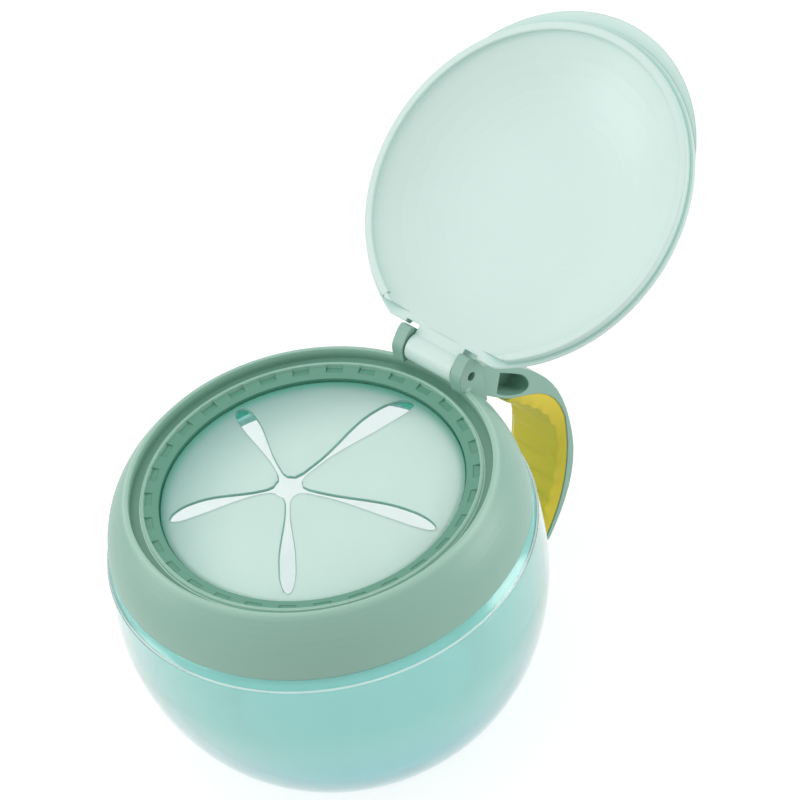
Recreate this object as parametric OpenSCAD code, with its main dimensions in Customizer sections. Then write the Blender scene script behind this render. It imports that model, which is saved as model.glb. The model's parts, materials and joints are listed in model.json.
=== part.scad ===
// Toddler snack cup. A round bowl carries a screw-on collar with a side handle, a flip lid
// and a soft insert whose five flaps let a small hand in and keep the snacks from spilling.
// Millimetres. Origin at the centre of the base, +Z up, +X towards the handle and the lid's hinge.
// The lid is drawn open, with its tab resting on the boss between the hinge lugs.

/* [Bowl] */
// Height of the collar's lower edge above the base
bowl_h = 49.5; // [46:0.5:60]
// How far the bowl's belly stands out beyond the collar's lower edge
belly_out = 1.4; // [0.8:0.1:6]
// Height of the largest radius
belly_z = 34.5; // [28:0.5:38]
// Radius of the flat that the bowl stands on
foot_r = 24; // [16:0.5:30]
// Fullness of the curve from the foot to the belly
belly_power = 1.8; // [1.6:0.05:2.4]
// How far the bowl draws in from the belly to the shoulder
shoulder_in = 0.8; // [0.3:0.1:1.4]
// Radius of the rounded shoulder edge
shoulder_round = 1.5; // [0.8:0.1:2.2]
// Wall of the bowl
bowl_wall = 2; // [1.4:0.1:2.6]

/* [Collar] */
// Outer radius of the collar's lower edge. The bowl, the lid and the insert follow it.
collar_r = 43; // [40:0.1:48]
// How far the threaded bore lies inside the collar's lower edge
bore_in = 4.2; // [4:0.1:4.8]
// Wall of the collar's skin and of the threaded ring inside it
skirt_t = 1.5; // [1.2:0.1:1.7]
// Height of the collar
collar_h = 13; // [12:0.5:15]
// How far the collar draws in from its lower edge to its top rim
rim_in = 5.4; // [4.4:0.1:5.8]
// Fullness of the collar's flank
flank_full = 0.6; // [0.4:0.05:0.8]
// Thickness of the rim outside the groove
rim_t = 0.9; // [0.7:0.1:1.4]
// Width of the groove that the lid's plug enters
groove_w = 2.1; // [1.9:0.1:2.4]
// Depth of that groove below the rim
groove_depth = 2.7; // [2.2:0.1:3.4]
// Thickness of the lip
lip_t = 0.7; // [0.5:0.1:0.9]
// Drop of the lip's top below the rim
lip_drop = 1.7; // [1.2:0.1:2.2]
// Thickness of the deck under the groove
deck_t = 2; // [1.6:0.1:2.8]
// Width of the funnel between the lip and the opening
funnel_w = 2.9; // [2:0.1:4]
// Number of grip recesses round the funnel
recess_n = 30; // [12:1:40]
// Width of one recess
recess_w = 3.4; // [1.5:0.1:4]
// Depth of one recess
recess_depth = 0.3; // [0.2:0.1:0.9]
// Radial room for the screw thread between neck and collar
thread_room = 0.8; // [0.6:0.1:1]

/* [Hinge] */
// How far the hinge axis lies outside the collar's top rim
hinge_out = 0.4; // [0:0.1:1]
// Height of the hinge axis above the rim
hinge_up = 2.4; // [2:0.1:3]
// Radius of the hinge pin
pin_r = 1; // [0.8:0.1:1.3]
// Length of the hinge pin
pin_len = 17; // [15:0.5:18.5]
// Distance between the outer faces of the two lugs
lug_span = 19; // [17:0.5:21]
// Thickness of one lug
lug_t = 2.9; // [2.2:0.1:3.4]
// Reach of a lug in front of the hinge axis
lug_front = 3.3; // [2.8:0.1:4]
// Reach of a lug behind the hinge axis
lug_back = 3.1; // [2.8:0.1:3.6]
// Height of a lug above the hinge axis
lug_up = 4.5; // [4:0.1:5.5]
// Radius of the lid's knuckle
knuckle_r = 3; // [2.4:0.1:3.2]

/* [Lid] */
// Opening angle of the lid as drawn, from closed
lid_open = 148; // [0:1:148]
// How far the lid's edge stays inside the collar's rim
lid_in = 0.2; // [0:0.1:0.6]
// Thickness of the lid's rim
lid_edge_t = 1.2; // [1:0.1:2.4]
// Height of the lid's dome above its rim
lid_dome = 8; // [5:0.5:12]
// Flatness of the dome's middle
lid_flat = 3; // [2:0.1:4]
// Wall of the lid
lid_wall = 1.9; // [1.4:0.1:2.4]
// Radial thickness of the sealing plug
plug_t = 1.1; // [0.8:0.1:1.2]
// Depth of the plug below the lid's rim
plug_depth = 1.7; // [1.4:0.1:2.4]
// Width of the sloped band between the plug and the hollow of the lid
plug_slope = 2.6; // [1.6:0.1:3.4]
// Reach of the thumb brim beyond the lid's edge
brim_reach = 2.7; // [1.5:0.1:5]
// Half angle of the brim's outline, as seen from the bowl's axis
brim_angle = 54; // [40:1:65]
// Distance of the lid's straight edge from the hinge axis
chord_gap = 3.5; // [3.3:0.1:4.5]

/* [Insert] */
// Rise of the soft dome above its edge
dome_h = 3.5; // [2:0.1:4]
// Flatness of the soft dome's middle
dome_power = 4.3; // [2:0.1:6]
// Thickness of the soft sheet
sheet_t = 1.2; // [0.8:0.1:1.6]
// Thickness of the flange clamped between the bowl and the collar
flange_t = 1; // [0.8:0.1:1.4]
// Directions of the slots' outer ends, from the handle's side
slot_angles = [0.5, 73, 143.5, 215, 282];
// Distance of the slots' outer ends from the edge of the opening
slot_edge = 2.1; // [1.9:0.1:5]
// Where the slots meet, in X
star_x = -4.5; // [-5:0.1:5]
// Where the slots meet, in Y
star_y = 1.7; // [-5:0.1:5]
// Radius of the opening where the slots meet
star_r = 2.6; // [2:0.1:3.2]
// Width of a slot near the star
slot_min = 0.9; // [0.8:0.05:1.4]
// Largest width of a slot
slot_max = 3.3; // [2:0.1:4]

/* [Handle] */
// Reach of the handle beyond the boss that it joins
handle_out = 21.6; // [19:0.1:28]
// Width of the handle
handle_w = 16; // [12:0.5:18]
// Length of the bare slope between the collar's boss and the grip
arm_slope = 3.4; // [2:0.1:4]
// Thickness of the handle's back behind the grip
spine_t = 1.1; // [1:0.1:2]
// Height of the handle's lowest point
handle_low = 2.6; // [1.5:0.1:8]
// How far the free end curls back under the bowl
tip_in = 13.4; // [8:0.1:16]
// Depth of the pocket moulded into each side of the arm
pocket_depth = 5; // [2:0.5:6]
// Length of the pocket along the arm
pocket_len = 11.4; // [6:0.1:12]
// Distance of the pocket from the arm's back
pocket_cover = 1.5; // [1.2:0.1:3]
// Distance of the pocket from the arm's underside
pocket_floor = 0.7; // [0.6:0.1:2]
// Thickness of the soft grip under its ribs
grip_t = 1.7; // [1.4:0.1:2.4]
// Step from the handle's side down to the grip's side
grip_in = 0.3; // [0.2:0.1:1]
// Height of the grip's ribs
rib_h = 0.4; // [0.2:0.1:0.8]
// Number of ribs
rib_n = 13; // [6:1:16]

/* [Fits] */
// Gap between a moving piece and its seat
seat_gap = 0.3; // [0.2:0.05:0.4]
// Radial clearance of the pin in the lid's knuckle
pin_play = 0.06; // [0.03:0.01:0.1]

/* [Hidden] */
$fn = 96;

bowl_colour = [0.55, 0.82, 0.79];
soft_colour = [0.78, 0.89, 0.85];
collar_colour = [0.53, 0.70, 0.63];
lid_colour = [0.82, 0.92, 0.89];
grip_colour = [0.84, 0.78, 0.24];
pin_colour = [0.75, 0.77, 0.78];

// Heights shared by the pieces that stack on each other
rim_z = bowl_h + collar_h;
groove_z = rim_z - groove_depth;
lip_z = rim_z - lip_drop;
deck_z = groove_z - deck_t;
flange_z = deck_z - seat_gap - flange_t;
neck_z = flange_z - seat_gap;
shoulder_z = bowl_h - seat_gap;
port_z = groove_z - 0.4;
sheet_z = port_z - 0.7;
hinge_z = rim_z + hinge_up;
lid_z = rim_z + seat_gap;

// Radii that step inwards from the collar's lower edge
bore_r = collar_r - bore_in;
neck_r = bore_r - thread_room;
rim_r = collar_r - rim_in;
groove_r = rim_r - rim_t;
lip_r = groove_r - groove_w - lip_t;
port_r = lip_r - funnel_w;
sheet_r = port_r - seat_gap;
slot_r = port_r - slot_edge;
belly_r = collar_r + belly_out;
shoulder_r = belly_r - shoulder_in;
lid_r = rim_r - lid_in;

// Places along the hinge and the handle
hinge_x = rim_r + hinge_out;
chord_x = hinge_x - chord_gap;
top_z = lid_z + lid_edge_t;
root_x = hinge_x + lug_back + 1.2;
boss_low = bowl_h + 5.8;
boss_top = hinge_z - 1.4;
handle_reach = root_x + handle_out;

// ---- plane curves -------------------------------------------------------------------------

// Points of a quadratic curve from a to c, pulled towards b
function bend(a, b, c, n) =
    [for (i = [0 : n]) let (t = i / n) (1 - t) * (1 - t) * a + 2 * t * (1 - t) * b + t * t * c];

// A point of the cubic curve with the four control points p, and a run of n + 1 such points
function cubic_at(p, t) = let (s = 1 - t)
    s * s * s * p[0] + 3 * s * s * t * p[1] + 3 * s * t * t * p[2] + t * t * t * p[3];
function cubic(p, n) = [for (i = [0 : n]) cubic_at(p, i / n)];

// Points of an arc about (x, y)
function arc(x, y, r, from, to, n) =
    [for (i = [0 : n]) let (a = from + (to - from) * i / n) [x + r * cos(a), y + r * sin(a)]];

function reversed(list) = [for (i = [len(list) - 1 : -1 : 0]) list[i]];

// A list without its first point, so that two curves join without a double point
function rest(list) = [for (i = [1 : len(list) - 1]) list[i]];

// Moves a curve sideways: each point by the distance d(i) along the curve's left normal
function shifted(list, d) =
    [for (i = [0 : len(list) - 1])
        let (a = list[max(i - 1, 0)], b = list[min(i + 1, len(list) - 1)],
             t = (b - a) / norm(b - a))
        list[i] + d[i] * [-t[1], t[0]]];

// ---- bowl ---------------------------------------------------------------------------------

// The rounded flank from the foot up to the belly, for a skin set in by the given distance
function flank(inset) =
    [for (i = [0 : 16]) let (a = 90 * i / 16)
        [foot_r - inset / 2 + (belly_r - foot_r - inset / 2) * pow(sin(a), 2 / belly_power),
         inset + (belly_z - inset) * (1 - pow(cos(a), 2 / belly_power))]];

module bowl() {
    crown_r = shoulder_r - shoulder_round;
    crown_z = shoulder_z - shoulder_round;
    mouth_r = neck_r - bowl_wall;
    inner_r = shoulder_r - bowl_wall;
    roof_z = shoulder_z - bowl_wall;
    outside = concat(
        [[0, 0]], flank(0),
        rest(bend([belly_r, belly_z], [belly_r, (belly_z + crown_z) / 2], [shoulder_r, crown_z], 6)),
        rest(arc(crown_r, crown_z, shoulder_round, 0, 90, 5)),
        [[neck_r, shoulder_z], [neck_r, neck_z - 0.5], [neck_r - 0.5, neck_z]]);
    inside = concat(
        [[0, bowl_wall]], flank(bowl_wall),
        rest(bend([belly_r - bowl_wall, belly_z], [belly_r - bowl_wall, (belly_z + crown_z) / 2],
                  [inner_r, roof_z - 2], 6)),
        rest(bend([inner_r, roof_z - 2], [inner_r, roof_z], [inner_r - 2, roof_z], 4)),
        [[mouth_r + 1, roof_z], [mouth_r, roof_z + 1], [mouth_r, neck_z]]);
    color(bowl_colour) rotate_extrude() polygon(concat(outside, reversed(inside)));
}

// ---- soft insert --------------------------------------------------------------------------

// Height of the sheet's upper face at radius r
function sheet_top(r) = sheet_z + dome_h * (1 - pow(min(r / sheet_r, 1), dome_power));

star = [star_x, star_y];
slot_n = len(slot_angles);
function slot_end(i) = slot_r * [cos(slot_angles[i % slot_n]), sin(slot_angles[i % slot_n])];

// A flap's root runs between the points at this share of its two slots
root_share = 0.95;
function root_point(i) = star + root_share * (slot_end(i) - star);

// Half the slot's width at share u of its length: narrow by the star, widest near the end
slot_full = 0.82;
function smooth(u) = u <= 0 ? 0 : u >= 1 ? 1 : u * u * (3 - 2 * u);
function slot_half(u) =
    u < slot_full
        ? slot_min / 2 + (slot_max - slot_min) / 2 * smooth((u - 0.25) / 0.5)
        : slot_max / 2 * sqrt(max(0, 1 - pow((u - slot_full) / (1 - slot_full), 2)));

module slot_outline(i) {
    run = slot_end(i) - star;
    side = [-run[1], run[0]] / norm(run);
    shares = [0, 0.25, 0.35, 0.42, 0.5, 0.58, 0.65, 0.75, 0.82, 0.88, 0.93, 0.97, 0.99];
    polygon(concat(
        [for (u = shares) star + u * run + slot_half(u) * side],
        [slot_end(i)],
        [for (u = reversed(shares)) star + u * run - slot_half(u) * side]));
}

module slots() {
    for (i = [0 : slot_n - 1]) slot_outline(i);
    translate(star) circle(star_r, $fn = 32);
}

// The domed sheet out to its edge
module sheet() {
    steps = [for (i = [0 : 12]) sheet_r * i / 12];
    rotate_extrude() polygon(concat(
        [for (r = steps) [r, sheet_top(r)]],
        [for (r = reversed(steps)) [r, sheet_top(r) - sheet_t]]));
}

// Tall enough to cut the sheet everywhere
module through_sheet() {
    translate([0, 0, sheet_z - 5]) linear_extrude(dome_h + 10) children();
}

module insert_rim() {
    // The roots of the flaps, moved out by their gap
    hole = [for (i = [0 : slot_n - 1])
        root_point(i) * (1 + seat_gap / (slot_r * cos(180 / slot_n)))];
    flange_r = neck_r - seat_gap;
    color(soft_colour) union() {
        difference() {
            sheet();
            through_sheet() {
                polygon(hole);
                slots();
            }
        }
        rotate_extrude() polygon([
            [sheet_r - sheet_t, flange_z], [flange_r, flange_z], [flange_r, flange_z + flange_t],
            [sheet_r, flange_z + flange_t], [sheet_r, sheet_z], [sheet_r - sheet_t, sheet_z - 0.2]]);
    }
}

// The flap between slot i and the next one
module flap(i) {
    color(soft_colour) intersection() {
        sheet();
        through_sheet() difference() {
            polygon([star, root_point(i), root_point(i + 1)]);
            slots();
        }
    }
}

// ---- collar -------------------------------------------------------------------------------

// A shape in the X-Z plane, given as [x, z], made as wide as w across the hinge's direction
module across(w) {
    rotate([90, 0, 0]) linear_extrude(w, center = true) children();
}

// Opening angle at which the lid meets its rest
lid_max = 148;

// The top of a lug, seen from the hinge axis
lug_peak = [0.45, lug_up];

// The side of a lug. Its back slopes along the straight edge of the open lid.
module lug_side() {
    toe_z = bowl_h + collar_h / 2;
    front = arc(hinge_x, hinge_z, lug_front, 180, 130, 5);
    difference() {
        polygon(concat(
            [[hinge_x - lug_front, toe_z]], front,
            rest(bend(front[5], [hinge_x - 0.9, hinge_z + lug_up - 0.3],
                      [hinge_x, hinge_z] + lug_peak, 4)),
            [[hinge_x + lug_back, hinge_z + lug_up - 2], [hinge_x + lug_back, toe_z]]));
        translate([hinge_x, hinge_z]) rotate(180 - lid_max)
            translate([chord_gap - seat_gap, -lug_up]) square([lug_up, 3 * lug_up]);
    }
}

// The rest on the boss between the lugs. The outer face of the lid's tab lies on it when open.
module lid_rest_side() {
    difference() {
        translate([root_x - 2, boss_top - 1]) square([2, hinge_z - boss_top + 3]);
        translate([hinge_x, hinge_z]) rotate(-lid_max) translate(tab_heel)
            rotate(atan2(tab_heel[1] - tab_toe[1], tab_heel[0] - tab_toe[0]))
                translate([-30, seat_gap - 30]) square([60, 30]);
    }
}

module collar() {
    outer = concat(
        [[bore_r, bowl_h], [collar_r - 0.4, bowl_h], [collar_r, bowl_h + 0.4]],
        rest(bend([collar_r, bowl_h + 0.4],
                  [collar_r - 0.4, bowl_h + flank_full * collar_h],
                  [rim_r + 0.3, rim_z - 0.7], 8)),
        [[rim_r, rim_z - 0.25], [rim_r - 0.35, rim_z], [groove_r + 0.2, rim_z],
         [groove_r, rim_z - 0.2]]);
    inner = [
        [groove_r, groove_z], [lip_r + lip_t, groove_z],
        [lip_r + lip_t, lip_z - 0.2], [lip_r + lip_t - 0.2, lip_z], [lip_r + 0.2, lip_z],
        [lip_r, lip_z - 0.2], [lip_r, groove_z + 0.4], [port_r, port_z],
        [port_r, deck_z], [bore_r, deck_z]];
    color(collar_colour) difference() {
        union() {
            rotate_extrude() polygon(concat(outer, inner));
            for (side = [-1, 1])
                translate([0, side * (lug_span - lug_t) / 2, 0]) across(lug_t) lug_side();
            translate([hinge_x, -handle_w / 2, boss_low])
                cube([root_x - hinge_x, handle_w, boss_top - boss_low]);
            across(lug_span - 2 * lug_t - 2) lid_rest_side();
        }
        // The bore over the neck, the groove and the port stay open behind the lugs and the boss
        translate([0, 0, bowl_h - 1]) cylinder(h = deck_z - bowl_h + 1, r = bore_r);
        // The skirt is cored out between its skin and the threaded ring
        ring_r = bore_r + skirt_t;
        skin_r = collar_r - skirt_t - 0.1;
        rotate_extrude() polygon([
            [ring_r, bowl_h - 1], [skin_r, bowl_h - 1], [skin_r, bowl_h + 0.2 * collar_h],
            [ring_r + 0.3, boss_low - 0.3], [ring_r, boss_low - 0.3]]);
        difference() {
            translate([0, 0, groove_z]) cylinder(h = rim_z - groove_z + 0.2, r = groove_r);
            translate([0, 0, groove_z - 1]) cylinder(h = rim_z, r = lip_r + lip_t);
        }
        translate([0, 0, lip_z]) cylinder(h = collar_h, r = lip_r + lip_t);
        // Room for the lid's knuckle
        translate([hinge_x, 0, hinge_z]) rotate([90, 0, 0])
            cylinder(h = lug_span - 2 * lug_t, r = knuckle_r + seat_gap, center = true);
        translate([hinge_x, 0, hinge_z]) rotate([90, 0, 0])
            cylinder(h = lug_span + 2, r = pin_r, center = true);
        // Recesses round the funnel
        for (i = [0 : recess_n - 1]) rotate(i * 360 / recess_n)
            translate([lip_r - 1.5, -recess_w / 2, groove_z + 0.2 - recess_depth])
                cube([1.5, recess_w, 1]);
    }
}

// ---- handle -------------------------------------------------------------------------------

mid_z = bowl_h / 2 + 2;
arm_top = [root_x, boss_top];
arm_low = [root_x, boss_low];
back_mid = [handle_reach, mid_z];
tip = [handle_reach - tip_in, handle_low];
// The curl of the free end, as the pull of its last control point
curl = tip_in * [0.336, 0.299];

// A control point between p and q: the share u of the way across and the share v of the way down
function pull(p, q, u, v) = [p[0] + u * (q[0] - p[0]), p[1] + v * (q[1] - p[1])];

// The handle's back, from the collar down to its free end
back_upper = [arm_top, pull(arm_top, back_mid, 0.736, 0.324), pull(arm_top, back_mid, 1, 0.537),
              back_mid];
back_lower = [back_mid, pull(back_mid, tip, 0, 0.538), tip + curl, tip];
function back_curve() = concat(cubic(back_upper, 12), rest(cubic(back_lower, 10)));

// The face between the back and the grip. The arm above it is thick, and the back below is thin.
seat_from = arm_low + arm_slope * [1, -1];
seat_mid = [handle_reach - spine_t, mid_z + 6];
seat_to = tip + spine_t * [-0.3, 1];
seat_upper = [seat_from, pull(seat_from, seat_mid, 0.31, 0.313),
              pull(seat_from, seat_mid, 0.889, 0.277), seat_mid];
seat_lower = [seat_mid, pull(seat_mid, seat_to, 0, 0.63),
              tip + curl + spine_t * [-1, 0.5], seat_to];
function seat_curve() = concat(cubic(seat_upper, 10), rest(cubic(seat_lower, 12)));

// The grip's bare inner face, before the ribs
palm_from = seat_from + [-0.4, -0.4];
palm_in = spine_t + grip_t;
palm_mid = [handle_reach - palm_in, mid_z + 1];
palm_to = tip + [-0.7, palm_in - 0.8];
palm_upper = [palm_from, pull(palm_from, palm_mid, 0.347, 0.295),
              pull(palm_from, palm_mid, 1, 0.537), palm_mid];
palm_lower = [palm_mid, pull(palm_mid, palm_to, 0, 0.49), tip + curl + palm_in * [-1, 0.5],
              palm_to];
function palm_curve() = concat(cubic(palm_upper, 36), rest(cubic(palm_lower, 36)));

// Rounds the free end when seen from behind
module end_rounding() {
    corner = 3;
    rotate([90, 0, 90]) linear_extrude(handle_reach + 5) union() {
        translate([-handle_w / 2, handle_low - 0.5 + corner])
            square([handle_w, rim_z + 10]);
        translate([-handle_w / 2 + corner, handle_low - 0.5])
            square([handle_w - 2 * corner, corner + 1]);
        for (side = [-1, 1])
            translate([side * (handle_w / 2 - corner), handle_low - 0.5 + corner]) circle(corner, $fn = 32);
    }
}

// A point inside the arm: the distance along from the grip's upper end, and the share v of the
// way down between the two walls that the pocket leaves
function pocket_at(along, v) =
    let (t = along / (3 * norm(seat_upper[1] - seat_upper[0])),
         high = cubic_at(back_upper, 0.144 + 0.42 * t), low = cubic_at(seat_upper, t),
         down = (low - high) / norm(low - high))
    (1 - v) * (high + pocket_cover * down) + v * (low - pocket_floor * down);

// The pocket follows the arm: square at the collar's end, round at the other
module pocket_side() {
    from = -0.12 * pocket_len;
    round_from = from + 0.69 * pocket_len;
    polygon(concat(
        [for (i = [0 : 4]) pocket_at(from + (round_from - from) * i / 4, 1)],
        [for (a = [-75 : 15 : 75])
            pocket_at(round_from + 0.31 * pocket_len * cos(a), 0.5 - sin(a) / 2)],
        [for (i = [4 : -1 : 0]) pocket_at(from + (round_from - from) * i / 4, 0)]));
}

module handle() {
    color(collar_colour) difference() {
        intersection() {
            across(handle_w) polygon(concat(back_curve(), reversed(seat_curve()), [arm_low]));
            end_rounding();
        }
        for (side = [-1, 1])
            translate([0, side * handle_w / 2, 0]) across(2 * pocket_depth) pocket_side();
    }
}

module grip() {
    palm = palm_curve();
    waves = [for (i = [0 : len(palm) - 1])
        -rib_h * pow(sin(180 * rib_n * i / (len(palm) - 1)), 2) * (i < 3 ? i / 3 : 1)];
    color(grip_colour) intersection() {
        across(handle_w - 2 * grip_in) polygon(concat(seat_curve(), reversed(shifted(palm, waves))));
        end_rounding();
    }
}

module hinge_pin() {
    color(pin_colour) translate([hinge_x, 0, hinge_z]) rotate([90, 0, 0])
        cylinder(h = pin_len, r = pin_r, center = true, $fn = 48);
}

// ---- lid ----------------------------------------------------------------------------------

// The outer face of the tab runs from the knuckle's heel to a toe inside the dome, seen from
// the hinge axis
tab_heel = [-1.5, knuckle_r - 0.2];
tab_toe = [-chord_gap - 3.5, top_z + 1.2 - hinge_z];

// The lid as it lies on the collar
module closed_lid() {
    plug_out = groove_r - 0.4;
    plug_in = plug_out - plug_t;
    dome_r = lid_r - 0.6;
    // A dome's height at radius r, for a cap as wide as the base radius and as high as the rise
    cap = function (r, base, rise) rise * (1 - pow(r / base, lid_flat));
    rings = [for (i = [0 : 12]) i / 12];
    hollow_r = plug_in - plug_slope;
    outer = concat(
        [[plug_in, lid_z - plug_depth], [plug_out - 0.3, lid_z - plug_depth],
         [plug_out, lid_z - plug_depth + 0.3], [plug_out, lid_z], [lid_r - 0.3, lid_z],
         [lid_r, lid_z + 0.3], [lid_r, top_z - 0.6]],
        [for (u = reversed(rings)) [dome_r * u, top_z + cap(dome_r * u, dome_r, lid_dome)]]);
    inner = concat(
        [for (u = rings) [hollow_r * u,
            lid_z + 0.7 + cap(hollow_r * u, hollow_r, lid_dome + lid_edge_t - lid_wall - 0.7)]],
        [[plug_in - 0.8, lid_z - 0.3], [plug_in, lid_z - 1.3]]);
    // The brim's circle passes the brim's point and the two ends of its outline
    far = lid_r + brim_reach;
    end_x = lid_r * cos(brim_angle);
    end_y = lid_r * sin(brim_angle);
    brim_c = (far * far - end_x * end_x - end_y * end_y) / (2 * (far - end_x));
    difference() {
        union() {
            difference() {
                rotate_extrude() polygon(concat(outer, inner));
                // The straight edge, and the gap in the plug beside the hinge
                translate([chord_x, -lid_r, lid_z - plug_depth - 1])
                    cube([lid_r, 2 * lid_r, lid_dome + lid_edge_t + plug_depth + 2]);
                translate([chord_x - 2.1, -lid_r, lid_z - plug_depth - 1])
                    cube([lid_r, 2 * lid_r, plug_depth + 1]);
            }
            // Thumb brim opposite the hinge
            difference() {
                translate([-brim_c, 0, lid_z + 0.6]) cylinder(h = lid_edge_t - 0.8, r = far - brim_c);
                translate([0, 0, lid_z]) cylinder(h = lid_edge_t, r = lid_r - 1);
            }
            // Tab and knuckle
            across(lug_span - 2 * lug_t - 2 * seat_gap) union() {
                translate([hinge_x, hinge_z]) circle(knuckle_r);
                translate([hinge_x, hinge_z])
                    polygon([[-chord_gap - 1, lid_z - hinge_z], [0, lid_z - hinge_z],
                             [0, knuckle_r], tab_heel, tab_toe,
                             [-chord_gap - 1, top_z - hinge_z]]);
            }
        }
        // The edge is hollowed beside the tab, so that it swings past the tops of the lugs
        for (side = [-1, 1])
            translate([hinge_x, side * (lug_span - lug_t) / 2, hinge_z]) rotate([90, 0, 0])
                cylinder(h = lug_t + 2 * seat_gap, r = norm(lug_peak) + seat_gap / 2, center = true);
        translate([hinge_x, 0, hinge_z]) rotate([90, 0, 0])
            cylinder(h = lug_span, r = pin_r + pin_play, center = true, $fn = 48);
    }
}

module lid() {
    color(lid_colour) translate([hinge_x, 0, hinge_z]) rotate([0, lid_open, 0])
        translate([-hinge_x, 0, -hinge_z]) closed_lid();
}

bowl();
insert_rim();
flap(0);  // flap_1
flap(1);  // flap_2
flap(2);  // flap_3
flap(3);  // flap_4
flap(4);  // flap_5
collar();
handle();
grip();
hinge_pin();
lid();
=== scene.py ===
"""Looks of the toddler snack cup: bowl, soft insert, collar with handle and grip, pin and lid."""

import json
import math

import bmesh
import bpy
from mathutils import Matrix, Vector


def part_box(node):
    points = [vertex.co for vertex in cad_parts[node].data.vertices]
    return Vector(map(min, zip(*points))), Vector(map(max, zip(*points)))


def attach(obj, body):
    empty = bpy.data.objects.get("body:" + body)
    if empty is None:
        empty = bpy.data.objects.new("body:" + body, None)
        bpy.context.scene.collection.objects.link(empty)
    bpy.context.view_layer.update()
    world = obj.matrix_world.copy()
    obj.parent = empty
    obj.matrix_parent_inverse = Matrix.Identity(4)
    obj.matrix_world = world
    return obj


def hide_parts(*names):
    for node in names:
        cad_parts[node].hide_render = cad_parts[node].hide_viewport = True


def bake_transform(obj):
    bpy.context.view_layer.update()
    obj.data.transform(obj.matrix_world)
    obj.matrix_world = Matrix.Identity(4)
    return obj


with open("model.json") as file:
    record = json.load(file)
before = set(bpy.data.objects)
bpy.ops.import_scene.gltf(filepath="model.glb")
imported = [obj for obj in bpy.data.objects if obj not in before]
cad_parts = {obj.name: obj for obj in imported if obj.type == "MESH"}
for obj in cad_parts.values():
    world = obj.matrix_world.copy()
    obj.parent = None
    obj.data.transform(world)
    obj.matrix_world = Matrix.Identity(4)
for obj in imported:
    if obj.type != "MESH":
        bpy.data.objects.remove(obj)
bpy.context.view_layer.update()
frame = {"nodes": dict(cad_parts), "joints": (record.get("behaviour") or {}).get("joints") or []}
mm = 0.001

# ---- Studio -------------------------------------------------------------------------------
# A white table that runs out of sight. A wide softbox hangs overhead and one stands on each
# side. The lens is long, so that the cup is drawn with little perspective.

ambient_light = 0.62
table_glow = 0.78
camera_place = Vector((-0.34220, -0.45743, 0.61383))
camera_ahead = Vector((0.45748, 0.56769, -0.68443)).normalized()
camera_top = Vector((0.57430, 0.39901, 0.71482)).normalized()
camera_side = camera_ahead.cross(camera_top).normalized()
camera_top = camera_side.cross(camera_ahead)

camera = bpy.data.objects.new("camera", bpy.data.cameras.new("camera"))
camera.data.sensor_width = 36
camera.data.lens = 180
camera.data.clip_start = 0.05
camera.data.clip_end = 20
camera.matrix_world = Matrix.Translation(camera_place) @ Matrix(
    (camera_side, camera_top, -camera_ahead)).transposed().to_4x4()
bpy.context.scene.collection.objects.link(camera)
bpy.context.scene.camera = camera
bpy.context.scene.view_settings.view_transform = "Standard"


def seen_or_mirrored(nodes, links):
    """1 for what the camera sees itself, in a gloss or through clear plastic, and 0 for light."""
    ray = nodes.new("ShaderNodeLightPath")
    total = ray.outputs["Is Camera Ray"]
    for kind in ("Is Glossy Ray", "Is Transmission Ray"):
        either = nodes.new("ShaderNodeMath")
        either.operation = "MAXIMUM"
        links.new(total, either.inputs[0])
        links.new(ray.outputs[kind], either.inputs[1])
        total = either.outputs[0]
    return total


studio_air = bpy.data.worlds.new("studio_air")
bpy.context.scene.world = studio_air
studio_air.use_nodes = True
nodes, links = studio_air.node_tree.nodes, studio_air.node_tree.links
nodes["Background"].inputs["Color"].default_value = (1, 1, 1, 1)
nodes["Background"].inputs["Strength"].default_value = ambient_light
backdrop = nodes.new("ShaderNodeBackground")
backdrop.inputs["Color"].default_value = (1, 1, 1, 1)
backdrop.inputs["Strength"].default_value = 1
choice = nodes.new("ShaderNodeMixShader")
links.new(seen_or_mirrored(nodes, links), choice.inputs[0])
links.new(nodes["Background"].outputs[0], choice.inputs[1])
links.new(backdrop.outputs[0], choice.inputs[2])
links.new(choice.outputs[0], nodes["World Output"].inputs["Surface"])

bm = bmesh.new()
bmesh.ops.create_grid(bm, x_segments=1, y_segments=1, size=4)
table_mesh = bpy.data.meshes.new("table_top")
bm.to_mesh(table_mesh)
bm.free()
table_top = bpy.data.objects.new("table_top", table_mesh)
bpy.context.scene.collection.objects.link(table_top)

# The paint glows a little where it is looked at, so that the table stays white round the cup
table_paint = bpy.data.materials.new("white_table")
table_paint.use_nodes = True
nodes, links = table_paint.node_tree.nodes, table_paint.node_tree.links
paint = nodes["Principled BSDF"]
paint.inputs["Base Color"].default_value = (0.36, 0.36, 0.36, 1)
paint.inputs["Roughness"].default_value = 0.7
paint.inputs["Specular IOR Level"].default_value = 0.1
lit_paint = nodes.new("ShaderNodeBsdfDiffuse")
lit_paint.inputs["Color"].default_value = (0.86, 0.86, 0.86, 1)
glow = nodes.new("ShaderNodeEmission")
glow.inputs["Strength"].default_value = table_glow
glowing = nodes.new("ShaderNodeAddShader")
choice = nodes.new("ShaderNodeMixShader")
links.new(paint.outputs[0], glowing.inputs[0])
links.new(glow.outputs[0], glowing.inputs[1])
links.new(seen_or_mirrored(nodes, links), choice.inputs[0])
links.new(lit_paint.outputs[0], choice.inputs[1])
links.new(glowing.outputs[0], choice.inputs[2])
links.new(choice.outputs[0], nodes["Material Output"].inputs["Surface"])
table_mesh.materials.append(table_paint)

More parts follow.
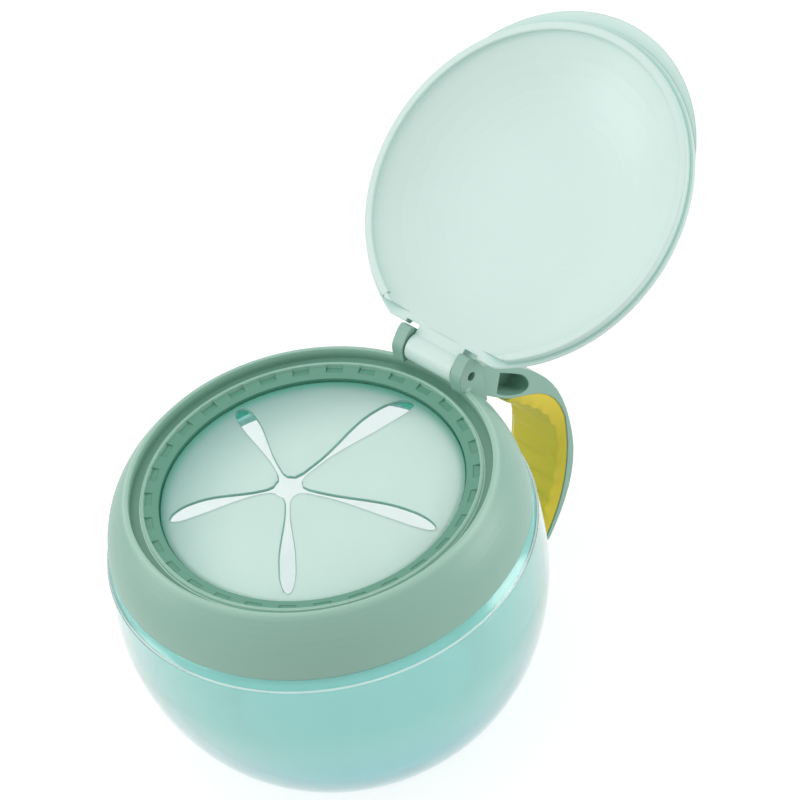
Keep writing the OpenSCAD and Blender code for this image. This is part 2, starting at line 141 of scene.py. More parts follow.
cup_middle = Vector((0.01, 0, 0.04))
for lamp_name, place, width, power in (
        ("overhead_softbox", (-0.15, 0.25, 1.00), 1.0, 2.0),
        ("left_softbox", (-0.65, 0.75, 0.45), 0.6, 2.15),
        ("right_softbox", (0.84, -0.72, 0.34), 0.6, 3.45)):
    lamp = bpy.data.lights.new(lamp_name, "AREA")
    lamp.shape = "DISK"
    lamp.size = width
    lamp.energy = power
    softbox = bpy.data.objects.new(lamp_name, lamp)
    softbox.location = place
    aim = cup_middle - Vector(place)
    softbox.rotation_euler = aim.to_track_quat("-Z", "Y").to_euler()
    bpy.context.scene.collection.objects.link(softbox)

# ---- Bowl ---------------------------------------------------------------------------------
# The bowl is injection-moulded in clear aqua polypropylene with a polished outside. Its neck
# carries the screw thread that the collar runs on, in three starts.

bowl_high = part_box("bowl")[1]
belly_r = bowl_high.x
neck_top = bowl_high.z
neck_r = 38 * mm
shoulder_r = belly_r - 0.4 * mm
shoulder_z = 47.3 * mm
shoulder_round = 0.7 * mm
seat_r = belly_r - 2 * mm
seat_z = 49.2 * mm
belly_z = 34.5 * mm
foot_r = 24 * mm
bowl_wall = 2 * mm
bowl_power = 1.8
foot_from, foot_to = 14 * mm, 30 * mm
shoulder_highlight_width = 0.3 * mm


def curve(a, b, c, steps):
    """Points of a quadratic curve from a to c, pulled towards b."""
    a, b, c = Vector(a), Vector(b), Vector(c)
    shares = [i / steps for i in range(steps + 1)]
    return [(1 - t) ** 2 * a + 2 * t * (1 - t) * b + t * t * c for t in shares]


def turned(name, profile, steps=180):
    """A mesh turned on the bowl's axis from a closed profile of (radius, height) points."""
    bm = bmesh.new()
    ring = [bm.verts.new((p[0], 0, p[1])) for p in profile]
    edges = [bm.edges.new(pair) for pair in zip(ring, ring[1:])]
    if profile[0][0] > 0:
        edges.append(bm.edges.new((ring[-1], ring[0])))
    bmesh.ops.spin(bm, geom=ring + edges, cent=(0, 0, 0), axis=(0, 0, 1),
                   angle=math.tau, steps=steps, use_merge=True)
    bmesh.ops.remove_doubles(bm, verts=bm.verts[:], dist=0.001 * mm)
    bmesh.ops.recalc_face_normals(bm, faces=bm.faces[:])
    return shown(name, bm)


def shown(name, bm):
    """Makes a bmesh a smooth-shaded object whose sharp corners stay sharp."""
    mesh = bpy.data.meshes.new(name)
    bm.to_mesh(mesh)
    bm.free()
    mesh.shade_smooth()
    mesh.set_sharp_from_angle(angle=math.radians(42))
    piece = bpy.data.objects.new(name, mesh)
    bpy.context.scene.collection.objects.link(piece)
    return piece


def bowl_flank(inset):
    """The rounded flank from the foot to the belly, for a skin set in by the given distance."""
    wide = belly_r - foot_r - inset / 2
    points = []
    for i in range(41):
        a = math.pi / 2 * i / 40
        points.append(Vector((foot_r - inset / 2 + wide * math.sin(a) ** (2 / bowl_power),
                              inset + (belly_z - inset) * (1 - math.cos(a) ** (2 / bowl_power)))))
    return points


crown_r = shoulder_r - shoulder_round
crown_z = shoulder_z - shoulder_round
roof_z = seat_z - bowl_wall
inner_r = shoulder_r - bowl_wall
mouth_r = neck_r - bowl_wall
outside = [Vector((0, 0))] + bowl_flank(0)
outside += curve((belly_r, belly_z), (belly_r, (belly_z + crown_z) / 2),
                 (shoulder_r, crown_z), 12)[1:]
outside += [Vector((crown_r + shoulder_round * math.cos(a), crown_z + shoulder_round * math.sin(a)))
            for a in [math.pi / 3 * i / 8 for i in range(1, 9)]]
outside += [Vector((seat_r, seat_z)), Vector((neck_r, seat_z)),
            Vector((neck_r, neck_top - 0.6 * mm))]
outside += curve((neck_r, neck_top - 0.5 * mm), (neck_r, neck_top),
                 (neck_r - 0.5 * mm, neck_top), 4)
inside = [Vector((0, bowl_wall))] + bowl_flank(bowl_wall)
inside += curve((belly_r - bowl_wall, belly_z), (belly_r - bowl_wall, (belly_z + crown_z) / 2),
                (inner_r, roof_z - 3 * mm), 12)[1:]
inside += curve((inner_r, roof_z - 3 * mm), (inner_r, roof_z), (inner_r - 3 * mm, roof_z), 8)[1:]
inside += curve((mouth_r + mm, roof_z), (mouth_r, roof_z), (mouth_r, roof_z + mm), 4)
inside += [Vector((mouth_r, neck_top))]
bowl = turned("bowl_shell", outside + inside[::-1], steps=240)

thread_lead = 12.16 * mm
thread_starts = 3
thread_turn = math.radians(105)
thread_from = 50.4 * mm
ridge_height, ridge_width = 0.34 * mm, 1.1 * mm
ridge_sunk = 0.05 * mm


def thread_ridges(name, root_r, height, start_z, first_turn):
    """Right-hand ridges that climb round the axis. A negative height points inwards."""
    bm = bmesh.new()
    steps = 36
    under_skin = root_r - math.copysign(ridge_sunk, height)
    for start in range(thread_starts):
        turn = first_turn + math.tau * start / thread_starts
        section = [(under_skin, 0), (root_r, 0), (root_r + height, 0.32 * ridge_width),
                   (root_r + height, 0.68 * ridge_width), (root_r, ridge_width),
                   (under_skin, ridge_width)]
        ring = [bm.verts.new((r * math.cos(turn), r * math.sin(turn), start_z + z))
                for r, z in section]
        edges = [bm.edges.new((a, b)) for a, b in zip(ring, ring[1:] + ring[:1])]
        bmesh.ops.spin(bm, geom=ring + edges, cent=(0, 0, 0), axis=(0, 0, 1), angle=thread_turn,
                       dvec=(0, 0, thread_lead * thread_turn / math.tau / steps), steps=steps,
                       use_merge=False)
    bmesh.ops.holes_fill(bm, edges=bm.edges[:], sides=8)
    bmesh.ops.recalc_face_normals(bm, faces=bm.faces[:])
    return shown(name, bm)


bowl_thread = thread_ridges("bowl_thread", neck_r, ridge_height, thread_from, 0)


def linear(*colour):
    """A colour of three 0 to 255 screen values, as the light values that sockets take."""
    return tuple((c / 255) ** 2.2 for c in colour) + (1,)


def mottled(nodes, links, colour, strength, scale):
    """A colour socket that wanders a little lighter and darker over the piece."""
    place = nodes.new("ShaderNodeTexCoord")
    cloud = nodes.new("ShaderNodeTexNoise")
    cloud.inputs["Scale"].default_value = scale
    cloud.inputs["Detail"].default_value = 3
    links.new(place.outputs["Object"], cloud.inputs["Vector"])
    shade = nodes.new("ShaderNodeMix")
    shade.data_type = "RGBA"
    shade.inputs[6].default_value = [c * (1 - strength) for c in colour[:3]] + [1]
    shade.inputs[7].default_value = [min(c * (1 + strength), 1) for c in colour[:3]] + [1]
    links.new(cloud.outputs["Fac"], shade.inputs[0])
    return shade.outputs[2]


def grained(nodes, links, surface, depth, scale, rough, spread):
    """Fine moulding grain: a bump of the given depth, and roughness that varies with it."""
    place = nodes.new("ShaderNodeTexCoord")
    grain = nodes.new("ShaderNodeTexNoise")
    grain.inputs["Scale"].default_value = scale
    grain.inputs["Detail"].default_value = 2
    links.new(place.outputs["Object"], grain.inputs["Vector"])
    bump = nodes.new("ShaderNodeBump")
    bump.inputs["Strength"].default_value = 1
    bump.inputs["Distance"].default_value = depth
    links.new(grain.outputs["Fac"], bump.inputs["Height"])
    links.new(bump.outputs["Normal"], surface.inputs["Normal"])
    vary = nodes.new("ShaderNodeMapRange")
    vary.inputs["To Min"].default_value = rough - spread
    vary.inputs["To Max"].default_value = rough + spread
    links.new(grain.outputs["Fac"], vary.inputs["Value"])
    links.new(vary.outputs["Result"], surface.inputs["Roughness"])
    return bump


def lets_light_in(nodes, links, surface, share, tint):
    """Lamps shine through the piece: a share of their light passes, in the given tint."""
    clear = nodes.new("ShaderNodeBsdfTransparent")
    clear.inputs["Color"].default_value = tint
    ray = nodes.new("ShaderNodeLightPath")
    amount = nodes.new("ShaderNodeMath")
    amount.operation = "MULTIPLY"
    amount.inputs[1].default_value = share
    links.new(ray.outputs["Is Shadow Ray"], amount.inputs[0])
    choice = nodes.new("ShaderNodeMixShader")
    links.new(amount.outputs[0], choice.inputs[0])
    links.new(surface.outputs[0], choice.inputs[1])
    links.new(clear.outputs[0], choice.inputs[2])
    links.new(choice.outputs[0], nodes["Material Output"].inputs["Surface"])


def blended(nodes, links, share, first, second):
    """A colour socket that goes from the first colour to the second as the share goes to 1."""
    mix = nodes.new("ShaderNodeMix")
    mix.data_type = "RGBA"
    links.new(share, mix.inputs[0])
    for socket, colour in ((mix.inputs[6], first), (mix.inputs[7], second)):
        if isinstance(colour, bpy.types.NodeSocket):
            links.new(colour, socket)
        else:
            socket.default_value = colour
    return mix.outputs[2]


def ramp(nodes, links, value, low, high):
    """A share that goes from 0 to 1 while the value goes from low to high."""
    share = nodes.new("ShaderNodeMapRange")
    share.interpolation_type = "SMOOTHSTEP"
    share.inputs["From Min"].default_value = low
    share.inputs["From Max"].default_value = high
    links.new(value, share.inputs["Value"])
    return share.outputs["Result"]


def clear_plastic(name, colour, foot_colour, seat_colour, rough, clear_share):
    """Tinted plastic, denser towards the foot and at the seat under the collar."""
    material = bpy.data.materials.new(name)
    material.use_nodes = True
    nodes, links = material.node_tree.nodes, material.node_tree.links
    surface = nodes["Principled BSDF"]
    place = nodes.new("ShaderNodeTexCoord")
    height = nodes.new("ShaderNodeSeparateXYZ")
    links.new(place.outputs["Object"], height.inputs[0])
    level = height.outputs["Z"]
    skin = blended(nodes, links, ramp(nodes, links, level, foot_from, foot_to),
                   foot_colour, mottled(nodes, links, colour, 0.03, 30))
    seat = ramp(nodes, links, level, shoulder_z, shoulder_z + 0.3 * mm)
    skin = blended(nodes, links, seat, skin, seat_colour)
    # Painted highlight: a fine pale line runs along the shoulder's corner, where the light would
    # catch it
    corner = nodes.new("ShaderNodeMath")
    corner.operation = "COMPARE"
    corner.inputs[1].default_value = shoulder_z - shoulder_highlight_width / 2
    corner.inputs[2].default_value = shoulder_highlight_width / 2
    links.new(level, corner.inputs[0])
    skin = blended(nodes, links, corner.outputs[0], skin, linear(212, 242, 238))
    # Painted light: a face seen from its back, from within the plastic, is painted nearly white
    side = nodes.new("ShaderNodeNewGeometry")
    links.new(blended(nodes, links, side.outputs["Backfacing"], skin, linear(246, 253, 252)),
              surface.inputs["Base Color"])
    grained(nodes, links, surface, 0.003 * mm, 900, rough, 0.03)
    surface.inputs["Coat Weight"].default_value = 1
    surface.inputs["Coat IOR"].default_value = 1.5
    surface.inputs["Coat Roughness"].default_value = 0.2
    # The painted highlight line and the seat let less through than the rest
    dull = nodes.new("ShaderNodeMath")
    dull.operation = "MAXIMUM"
    links.new(corner.outputs[0], dull.inputs[0])
    links.new(seat, dull.inputs[1])
    clearness = nodes.new("ShaderNodeMapRange")
    clearness.inputs["To Min"].default_value = clear_share
    clearness.inputs["To Max"].default_value = 0.4
    links.new(dull.outputs[0], clearness.inputs["Value"])
    links.new(clearness.outputs["Result"], surface.inputs["Transmission Weight"])
    surface.inputs["IOR"].default_value = 1.4
    lets_light_in(nodes, links, surface, 0.92, (0.95, 0.99, 0.985, 1))
    return material


painted_bright_aqua = linear(240, 251, 250)
aqua_plastic = clear_plastic("aqua_clear_plastic", linear(106, 187, 178), linear(44, 172, 184),
                             linear(118, 208, 198), 0.1, 0.85)
# Painted light: the faces inside the cavity, below the roof, are painted nearly white, as though
# the inside of the bowl were brightly lit
aqua_inner_face_painted_bright = clear_plastic("aqua_inner_face_painted_bright", painted_bright_aqua, painted_bright_aqua, painted_bright_aqua, 0.12, 0.9)
cavity_middle = Vector((0, 0, belly_z))
for piece in (bowl, bowl_thread):
    piece.data.materials.append(aqua_plastic)
    piece.data.materials.append(aqua_inner_face_painted_bright)
    for face in piece.data.polygons:
        inwards = face.normal.dot(cavity_middle - face.center) > 0
        face.material_index = int(inwards and face.center.z < roof_z)
    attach(piece, "bowl")
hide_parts("bowl")

# ---- Soft insert --------------------------------------------------------------------------
# The insert is one moulding of milky green thermoplastic rubber, clamped by its flange between
# bowl and collar. Five slots run out from a star, and the flaps between them bend downwards.

insert_low, insert_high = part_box("insert_rim")
flange_r = insert_high.x
flange_low = insert_low.z
flange_t = 1 * mm
sheet_r = 30.7 * mm
sheet_t = 0.6 * mm
skirt_t = 1.2 * mm
sheet_edge_z = 58.7 * mm
dome_h = 3.5 * mm
dome_power = 4.3
star = Vector((-4.5, 1.7)) * mm
star_r = 2.6 * mm
slot_angles = (0.2, 75.5, 143.5, 215, 282)
slot_ends = (29.5, 28.9, 28.9, 28.9, 28.9)
slot_widths = (4.9, 3.4, 3.7, 3.2, 3.3)
slot_min = 0.8 * mm
slot_full = 0.82
slot_flare, flare_reach = 0.8 * mm, 0.55 * mm
widen_from, widen_over = 0.25, 0.5
edge_round = 0.3 * mm
cut_band = 0.7 * edge_round
near_edge = [edge_round * share for share in (0, 0.12, 0.35, 0.65, 1)]
past_slot = (0.4, 0.6, 0.8, 1)


def smooth_step(u):
    """0 below 0, 1 above 1, and a smooth rise between them."""
    u = min(max(u, 0), 1)
    return u * u * (3 - 2 * u)


def sheet_top(r):
    """Height of the domed sheet's upper face at a radius."""
    return sheet_edge_z + dome_h * (1 - min(r / sheet_r, 1) ** dome_power)


def slot_side(number, hand):
    """One side of a slot, from the star's opening to the slot's end and on to the sheet's edge."""
    angle = math.radians(slot_angles[number % 5])
    slot_r, slot_max = slot_ends[number % 5] * mm, slot_widths[number % 5] * mm
    outwards = Vector((math.cos(angle), math.sin(angle)))
    run = slot_r * outwards - star
    ahead, beside = run.normalized(), hand * Vector((-run.y, run.x)).normalized()
    reach = run.length
    full_at = slot_full * reach
    distances = [star_r + d for d in near_edge]
    distances += [distances[-1] + (full_at - distances[-1]) * i / 16 for i in range(1, 17)]
    points = []
    for d in distances:
        opened = smooth_step((d / reach - widen_from) / widen_over)
        wide = slot_min + (slot_max - slot_min) * opened
        flare = slot_flare * math.exp(-(d - star_r) / flare_reach)
        points.append(star + d * ahead + (wide / 2 + flare) * beside)
    for i in range(1, 11):
        a = math.pi / 2 * i / 10
        points.append(star + (full_at + (reach - full_at) * math.sin(a)) * ahead
                      + slot_max / 2 * math.cos(a) * beside)
    points += [(slot_r + d) * outwards for d in near_edge[1:]]
    points += [(slot_r + (sheet_r - slot_r) * share) * outwards for share in past_slot]
    return points


def between(a, b, centre, share):
    """A point on the way from a to b, going round the centre."""
    a, b = a - centre, b - centre
    turn = (math.atan2(b.y, b.x) - math.atan2(a.y, a.x)) % math.tau
    angle = math.atan2(a.y, a.x) + share * turn
    reach = a.length + share * (b.length - a.length)
    return centre + reach * Vector((math.cos(angle), math.sin(angle)))


def distance_to(path, point):
    """Distance of a point from a path of short straight pieces."""
    best = 1.0
    for a, b in zip(path, path[1:]):
        step = b - a
        share = min(max((point - a).dot(step) / step.length_squared, 0), 1)
        best = min(best, (point - a - share * step).length)
    return best


def flap_sheet(number):
    """The part of the sheet between two slots, from the star's opening to the sheet's edge."""
    side_a, side_b = slot_side(number, 1), slot_side(number + 1, -1)
    rows = len(side_a)
    end_row = rows - len(near_edge[1:]) - len(past_slot)
    mouth = [between(side_a[0], side_b[0], star, i / 24) for i in range(25)]
    rim = side_a[end_row::-1] + mouth[1:-1] + side_b[:end_row + 1]
    middle_columns = 22
    columns = 2 * len(near_edge) + middle_columns - 1
    bm = bmesh.new()
    grid = bmesh.ops.create_grid(bm, x_segments=columns - 1, y_segments=rows - 1, size=1)["verts"]
    for index, vert in enumerate(grid):
        column, row = index % columns, index // columns
        a, b = side_a[row], side_b[row]
        width = (between(a, b, star, 0.5) - a).length * 2
        first = near_edge[-1] / width
        if column < len(near_edge):
            share = near_edge[column] / width
        elif column >= columns - len(near_edge):
            share = 1 - near_edge[columns - 1 - column] / width
        else:
            share = first + (1 - 2 * first) * (column - len(near_edge) + 1) / middle_columns
        out = (row / (rows - 1)) ** 2
        flat = (1 - out) * between(a, b, star, share) + out * between(a, b, Vector((0, 0)), share)
        vert.co = (flat.x, flat.y, sheet_top(flat.length))
    tops = list(grid)
    down = bmesh.ops.extrude_face_region(bm, geom=bm.faces[:])["geom"]
    for vert in (v for v in down if isinstance(v, bmesh.types.BMVert)):
        vert.co.z -= sheet_t
    for vert in tops:
        gap = distance_to(rim, vert.co.xy)
        if gap < edge_round:
            vert.co.z -= edge_round - math.sqrt(edge_round ** 2 - (edge_round - gap) ** 2)
    for face in bm.faces:
        middle = face.calc_center_median()
        face.material_index = int(distance_to(rim, middle.xy) < cut_band)
    bmesh.ops.recalc_face_normals(bm, faces=bm.faces[:])
    return shown(f"flap_sheet_{number + 1}", bm)


def soft_rubber(name, colour, clear_share):
    """Milky thermoplastic rubber with a fine bloom on its skin."""
    material = bpy.data.materials.new(name)
    material.use_nodes = True
    nodes, links = material.node_tree.nodes, material.node_tree.links
    surface = nodes["Principled BSDF"]
    links.new(mottled(nodes, links, colour, 0.03, 60), surface.inputs["Base Color"])
    grained(nodes, links, surface, 0.006 * mm, 1500, 0.38, 0.06)
    surface.inputs["Transmission Weight"].default_value = clear_share
    surface.inputs["IOR"].default_value = 1.4
    lets_light_in(nodes, links, surface, 0.75, (0.90, 0.97, 0.95, 1))
    return material


# Painted shade: the sheet is painted darker towards +y and the hinge's side, and near its edge,
# where it turns down into the wall, it takes a deeper teal all round
insert_rubber = soft_rubber("milky_green_rubber", linear(224, 245, 238), 0.45)
nodes, links = insert_rubber.node_tree.nodes, insert_rubber.node_tree.links
surface = nodes["Principled BSDF"]
surface.inputs["Sheen Weight"].default_value = 0.15
place = nodes.new("ShaderNodeTexCoord")
skin = surface.inputs["Base Color"].links[0].from_socket
for offset, low, high, tone in (((2, 19, 0), 26, 54, linear(150, 196, 188)),
                                ((1.5, 1.9, 0), 28.5, 33, linear(112, 205, 184))):
    away = nodes.new("ShaderNodeVectorMath")
    away.operation = "MULTIPLY_ADD"
    away.inputs[1].default_value = (1, 1, 0)
    away.inputs[2].default_value = Vector(offset) * mm
    reach = nodes.new("ShaderNodeVectorMath")
    reach.operation = "LENGTH"
    links.new(place.outputs["Object"], away.inputs[0])
    links.new(away.outputs["Vector"], reach.inputs[0])
    skin = blended(nodes, links, ramp(nodes, links, reach.outputs["Value"], low * mm, high * mm),
                   skin, tone)
links.new(skin, surface.inputs["Base Color"])

# Painted shade: the cut faces of the slots and the rims beside them are painted darker, which draws
# the slots' dark outlines
shaded_cut_rubber = soft_rubber("cut_rubber_edge", linear(132, 182, 168), 0.2)

# The wall and the flange are thicker than the sheet, and so their colour is stronger
ring_rubber = soft_rubber("thick_green_rubber", linear(84, 214, 190), 0.2)

wall_top = sheet_edge_z - sheet_t + 0.1 * mm
insert_ring = turned("insert_ring", [
    (sheet_r - skirt_t, flange_low), (flange_r - 0.2 * mm, flange_low),
    (flange_r, flange_low + 0.2 * mm),
    (flange_r, flange_low + flange_t - 0.2 * mm), (flange_r - 0.2 * mm, flange_low + flange_t),
    (sheet_r - 0.05 * mm, flange_low + flange_t), (sheet_r - 0.05 * mm, wall_top),
    (sheet_r - skirt_t, wall_top)])
insert_ring.data.materials.append(ring_rubber)
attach(insert_ring, "insert")
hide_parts("insert_rim")

joints = {joint["name"]: joint for joint in frame["joints"]}
for number in range(5):
    flap = flap_sheet(number)
    flap.data.materials.append(insert_rubber)
    flap.data.materials.append(shaded_cut_rubber)
    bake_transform(flap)
    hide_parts(f"flap_{number + 1}")

# ---- Collar -------------------------------------------------------------------------------
# The collar is moulded in sage green polypropylene with a fine satin grain. It screws down on
# the bowl's thread, and its deck holds the insert's flange.

bore_r = 38.8 * mm
collar_thread_up = 1.9 * mm
collar_thread_turn = math.radians(20)
collar_thread = thread_ridges("collar_thread", bore_r, -ridge_height,
                              thread_from + collar_thread_up, collar_thread_turn)


def satin_plastic(name, face_colour, recess_shade_colour, rough, reach, round_r):
    """Moulded plastic whose corners catch the light and whose recesses are painted darker, as
    painted shade.
    """
    material = bpy.data.materials.new(name)
    material.use_nodes = True
    nodes, links = material.node_tree.nodes, material.node_tree.links
    surface = nodes["Principled BSDF"]
    recess_shade = nodes.new("ShaderNodeAmbientOcclusion")
    recess_shade.samples = 8
    recess_shade.inputs["Distance"].default_value = reach
    colour = nodes.new("ShaderNodeMix")
    colour.data_type = "RGBA"
    colour.inputs[6].default_value = recess_shade_colour
    links.new(recess_shade.outputs["AO"], colour.inputs[0])
    links.new(mottled(nodes, links, face_colour, 0.03, 45), colour.inputs[7])
    links.new(colour.outputs[2], surface.inputs["Base Color"])
    bump = grained(nodes, links, surface, 0.008 * mm, 1600, rough, 0.05)
    corner = nodes.new("ShaderNodeBevel")
    corner.samples = 4
    corner.inputs["Radius"].default_value = round_r
    links.new(corner.outputs["Normal"], bump.inputs["Normal"])
    return material


# Painted shade: its creases and recesses, such as the handle's pocket, take a deeper green
sage_plastic = satin_plastic("sage_satin_plastic", linear(145, 186, 170), linear(104, 154, 134),
                             0.38, 4 * mm, 0.3 * mm)

# Painted light and shade by radius and height: the funnel and the foot of the groove are painted
# darker, as shade, and the lip and the rim's crest are painted paler, as highlight. The lugs above
# the rim keep the collar's own colour.
groove_from, rim_top = 60.2 * mm, 62.6 * mm
crest_from, crest_to = 61.2 * mm, 62.4 * mm
nodes, links = sage_plastic.node_tree.nodes, sage_plastic.node_tree.links
surface = nodes["Principled BSDF"]
place = nodes.new("ShaderNodeTexCoord")
from_axis = nodes.new("ShaderNodeVectorMath")
from_axis.operation = "MULTIPLY"
from_axis.inputs[1].default_value = (1, 1, 0)
radius = nodes.new("ShaderNodeVectorMath")
radius.operation = "LENGTH"
height = nodes.new("ShaderNodeSeparateXYZ")
links.new(place.outputs["Object"], from_axis.inputs[0])
links.new(from_axis.outputs["Vector"], radius.inputs[0])
links.new(place.outputs["Object"], height.inputs[0])
radius, height = radius.outputs["Value"], height.outputs["Z"]
face_tone = surface.inputs["Base Color"].links[0].from_socket
crest_highlight = blended(nodes, links, ramp(nodes, links, height, crest_from, crest_to),
                face_tone, linear(166, 206, 189))
groove_wall_shading = blended(nodes, links, ramp(nodes, links, height, groove_from, rim_top),
                      linear(120, 166, 148), linear(172, 210, 192))
lip_side_highlight, lip_face_highlight, funnel_shade = linear(214, 244, 232), linear(160, 204, 186), linear(100, 158, 136)
tone = face_tone
for edge, inner_tone in ((38.4, crest_highlight), (36.8, groove_wall_shading), (34.8, lip_side_highlight),
                         (34.4, lip_face_highlight), (33.8, funnel_shade)):
    tone = blended(nodes, links, ramp(nodes, links, radius, edge * mm, (edge + 0.1) * mm),
                   inner_tone, tone)
lugs = ramp(nodes, links, height, rim_top, rim_top + 0.2 * mm)
links.new(blended(nodes, links, lugs, tone, face_tone), surface.inputs["Base Color"])
collar_thread.data.materials.append(sage_plastic)
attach(collar_thread, "collar")
for node in ("collar", "handle"):
    frame["nodes"][node].data.materials.clear()
    frame["nodes"][node].data.materials.append(sage_plastic)

# ---- Grip ---------------------------------------------------------------------------------
# The grip is soft yellow rubber moulded onto the handle's inner face. Its sides slope in to the
# palm, and cushioned ribs cross the palm for small fingers.

handle_low, handle_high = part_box("handle")
middle_z = 26.75 * mm
tip = Vector((handle_high.x - 13.4 * mm, 2.6 * mm))
curl = Vector((4.5, 4.0)) * mm
spine_t = 1.1 * mm
palm_in = 3.0 * mm
grip_half = 7.7 * mm
palm_half = 6.1 * mm
rib_count = 13
rib_height = 0.9 * mm
rib_fade, rib_fade_over = 2.2 * mm, 4 * mm
grip_from = 0.09
tip_corner = 3 * mm
grip_steps = 180


def cubic_at(p, t):
    """A point of the cubic curve with the four control points p."""
    s = 1 - t
    return s ** 3 * p[0] + 3 * s * s * t * p[1] + 3 * s * t * t * p[2] + t ** 3 * p[3]


def pull(p, q, across, down):
    """A control point at the given shares of the way across and down from p to q."""
    return Vector((p.x + across * (q.x - p.x), p.y + down * (q.y - p.y)))


def two_curves(upper, lower, share):
    """A point at the share of the way down a curve made of two cubics."""
    return cubic_at(upper, 2 * share) if share < 0.5 else cubic_at(lower, 2 * share - 1)


seat_from = Vector((handle_low.x + 3.4 * mm, 51.9 * mm))
seat_mid = Vector((handle_high.x - spine_t, middle_z + 6 * mm))
seat_to = tip + Vector((-0.3, 1)) * spine_t
seat_upper = [seat_from, pull(seat_from, seat_mid, 0.31, 0.313),
              pull(seat_from, seat_mid, 0.889, 0.277), seat_mid]
seat_lower = [seat_mid, pull(seat_mid, seat_to, 0, 0.63),
              tip + curl + spine_t * Vector((-1, 0.5)), seat_to]
palm_from = seat_from + Vector((-0.4, -0.4)) * mm
palm_mid = Vector((handle_high.x - palm_in, middle_z + mm))
palm_to = tip + Vector((-0.7 * mm, palm_in - 0.8 * mm))
palm_upper = [palm_from, pull(palm_from, palm_mid, 0.347, 0.295),
              pull(palm_from, palm_mid, 1, 0.537), palm_mid]
palm_lower = [palm_mid, pull(palm_mid, palm_to, 0, 0.49),
              tip + curl + palm_in * Vector((-1, 0.5)), palm_to]

# Half of the grip's section as (share of the way from the seat to the palm, half width)
slope = [(0, grip_half), (0.10, grip_half), (0.30, grip_half - 0.25 * mm),
         (0.62, grip_half - 0.85 * mm), (0.86, palm_half + 0.35 * mm), (1, palm_half)]
slope += [(1, palm_half * share) for share in (0.92, 0.84, 0.6, 0.3, 0)]
section = slope + [(depth, -half) for depth, half in slope[-2::-1]]

# A grid rolled up round the section and laid down the handle, then joined along its back
section.append(section[0])
columns = len(section)
bm = bmesh.new()
grid = bmesh.ops.create_grid(bm, x_segments=columns - 1, y_segments=grip_steps, size=1)["verts"]
for index, vert in enumerate(grid):
    depth, half = section[index % columns]
    share = grip_from + (1 - grip_from) * (index // columns) / grip_steps
    seat = two_curves(seat_upper, seat_lower, share)
    palm = two_curves(palm_upper, palm_lower, share)
    swell = rib_height * math.sin(math.pi * rib_count * share) ** 2
    swell *= smooth_step(25 * (share - grip_from))
    ribbed = smooth_step((depth - 0.5) / 0.5)
    ribbed *= smooth_step((palm_half + rib_fade - abs(half)) / rib_fade_over)
    flat = seat + depth * (palm - seat) + ribbed * swell * (palm - seat).normalized()
    under = max(0, handle_low.z - 0.5 * mm + tip_corner - seat.y)
    narrow = tip_corner - math.sqrt(max(tip_corner ** 2 - under ** 2, 0))
    vert.co = (flat.x, half * (1 - narrow / grip_half), flat.y)
bmesh.ops.remove_doubles(bm, verts=bm.verts[:], dist=0.001 * mm)
bmesh.ops.holes_fill(bm, edges=bm.edges[:], sides=0)
bmesh.ops.recalc_face_normals(bm, faces=bm.faces[:])
grip = shown("grip_pad", bm)

# Painted shade: its creases between the ribs take a deeper yellow
yellow = satin_plastic("soft_yellow_rubber", linear(255, 224, 70), linear(252, 208, 48),
                       0.55, 1.5 * mm, 0.3 * mm)
grip.data.materials.append(yellow)
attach(grip, "collar")
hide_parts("grip")

# ---- Hinge pin ----------------------------------------------------------------------------
# The pin is drawn steel wire, cut to length and pressed into both lugs a little below their
# faces, so that only its dull ends show.

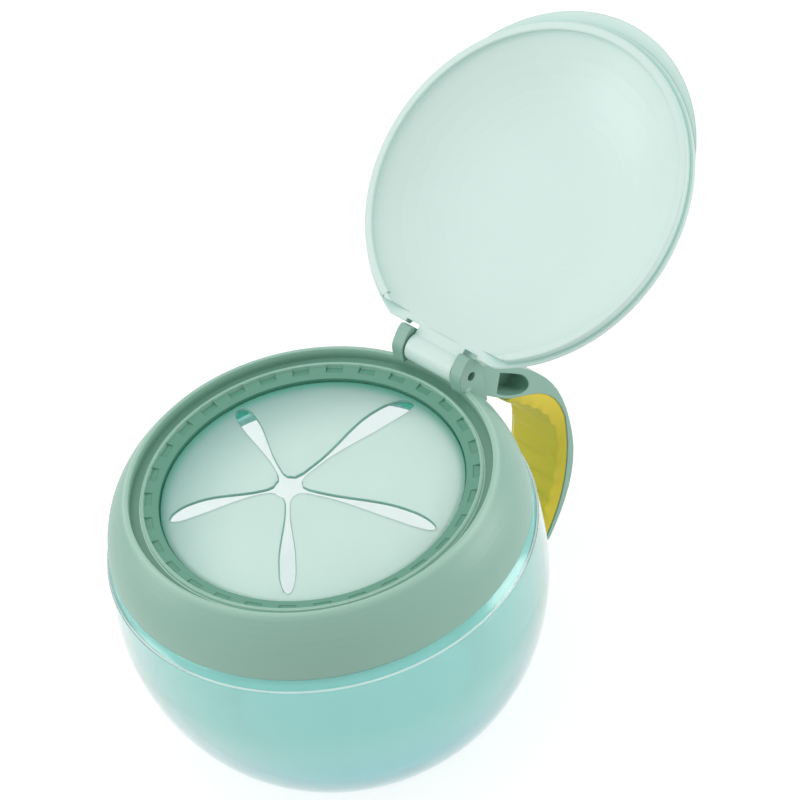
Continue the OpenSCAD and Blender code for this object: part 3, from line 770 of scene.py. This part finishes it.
steel = bpy.data.materials.new("drawn_steel")
steel.use_nodes = True
nodes, links = steel.node_tree.nodes, steel.node_tree.links
surface = nodes["Principled BSDF"]
surface.inputs["Metallic"].default_value = 1
links.new(mottled(nodes, links, linear(150, 152, 150), 0.1, 400), surface.inputs["Base Color"])
grained(nodes, links, surface, 0.004 * mm, 3000, 0.42, 0.08)
frame["nodes"]["hinge_pin"].data.materials.clear()
frame["nodes"]["hinge_pin"].data.materials.append(steel)

# ---- Lid ----------------------------------------------------------------------------------
# The lid is moulded in pale mint polypropylene. Its plug seals in the collar's groove, and a
# low brim opposite the hinge gives the thumb an edge to lift.

# Painted shade: the lid's recesses, such as the foot of the plug ring, take a deeper mint
mint_plastic = satin_plastic("mint_satin_plastic", linear(220, 243, 236), linear(150, 205, 194),
                             0.34, 4 * mm, 0.3 * mm)
nodes, links = mint_plastic.node_tree.nodes, mint_plastic.node_tree.links
lets_light_in(nodes, links, nodes["Principled BSDF"], 0.5, (0.90, 0.98, 0.95, 1))
frame["nodes"]["lid"].data.materials.clear()
frame["nodes"]["lid"].data.materials.append(mint_plastic)

# The plug's sealing bead fills the groove. It is laid out on the closed lid, then swung open.
bead_low = 61.08 * mm
bead_in, bead_out = 34.75 * mm, 36.5 * mm
bead_from = math.radians(27.5)
lid_swing = math.radians(148)
bm = bmesh.new()
section = [(bead_in + 0.2 * mm, bead_low), (bead_out - 0.2 * mm, bead_low),
           (bead_out, bead_low + 0.2 * mm), (bead_out, bead_low + 1.8 * mm),
           (bead_in + 0.6 * mm, bead_low + 1.6 * mm), (bead_in, bead_low + 1.1 * mm),
           (bead_in, bead_low + 0.2 * mm)]
ring = [bm.verts.new((r * math.cos(bead_from), r * math.sin(bead_from), z)) for r, z in section]
edges = [bm.edges.new((a, b)) for a, b in zip(ring, ring[1:] + ring[:1])]
bmesh.ops.spin(bm, geom=ring + edges, cent=(0, 0, 0), axis=(0, 0, 1),
               angle=math.tau - 2 * bead_from, steps=150, use_merge=False)
bmesh.ops.holes_fill(bm, edges=bm.edges[:], sides=8)
bmesh.ops.recalc_face_normals(bm, faces=bm.faces[:])
bmesh.ops.rotate(bm, verts=bm.verts[:], cent=joints["lid_hinge"]["pos_m"],
                 matrix=Matrix.Rotation(lid_swing, 3, "Y"))
lid_bead = shown("lid_bead", bm)
lid_bead.data.materials.append(mint_plastic)
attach(lid_bead, "lid")
